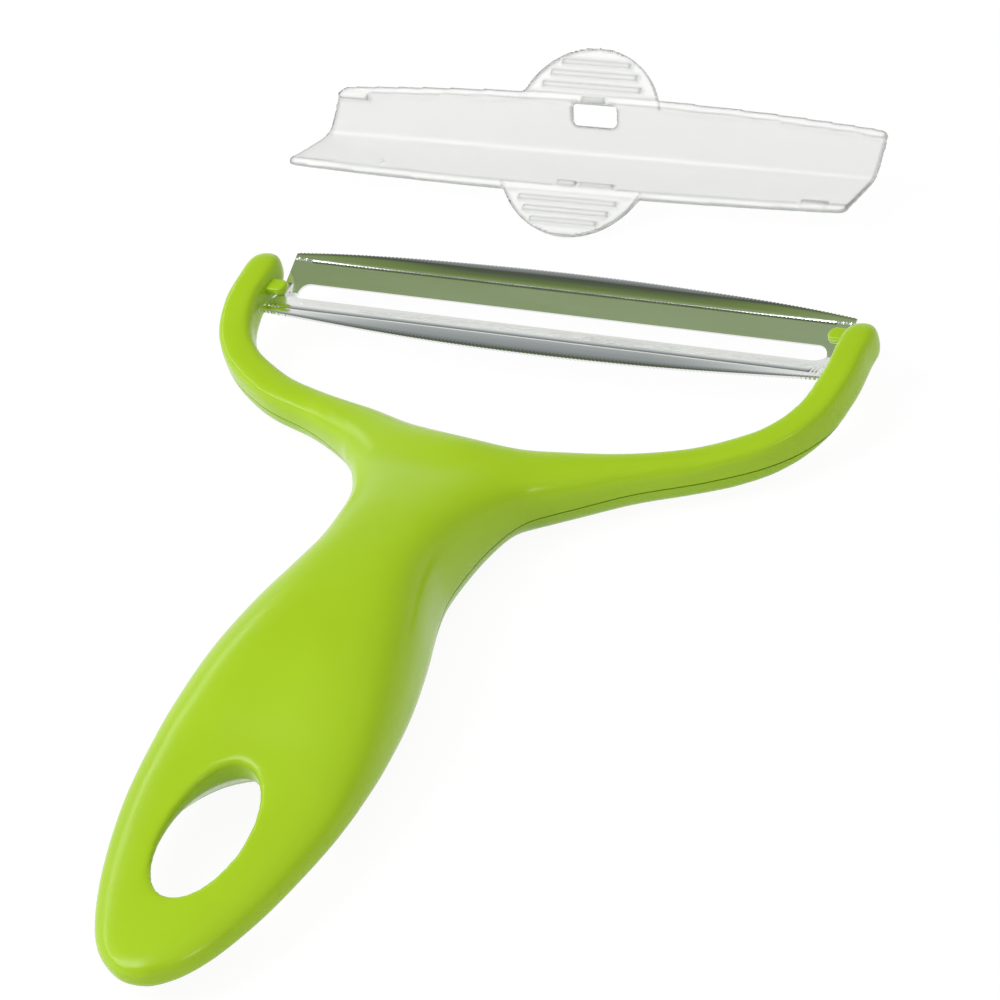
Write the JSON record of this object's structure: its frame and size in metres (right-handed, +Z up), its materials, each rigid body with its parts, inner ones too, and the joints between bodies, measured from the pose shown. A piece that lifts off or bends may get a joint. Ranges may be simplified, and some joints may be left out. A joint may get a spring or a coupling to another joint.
{
  "type": "cabbage slicer",
  "caption": "Wide Y-shaped hand slicer with a hollow plastic handle, a swinging slotted steel blade held between two arms, and a clear blade cover lying beside it.",
  "frame": {"origin": "on the table under the thickest part of the grip, in the middle of the flat underside", "axes": "+X along the blade, +Y from the hanging hole towards the blade, +Z up from the table"},
  "size_m": [0.1309, 0.2166, 0.0207],
  "materials": {
    "lime_lower": "glossy moulded",
    "lime_upper": "glossy moulded",
    "blade_steel": "brushed lengthways",
    "clear_plastic": "clear moulded"
  },
  "bodies": {
    "handle": {"handle_lower_shell": "lime_lower", "handle_upper_shell": "lime_upper"},
    "blade": {"blade": "blade_steel"},
    "cover": {"blade_cover": "clear_plastic"}
  },
  "joints": [
    {"name": "blade_swing", "type": "hinge", "parent": "handle", "child": "blade", "pos_m": [0, 0.08, 0.0075], "axis": [1, 0, 0], "range_deg": [-15, 15]},
    {"name": "cover_lift", "type": "slide", "parent": "handle", "child": "cover", "axis": [0, 0, 1], "range_m": [0, 0.06]}
  ]
}
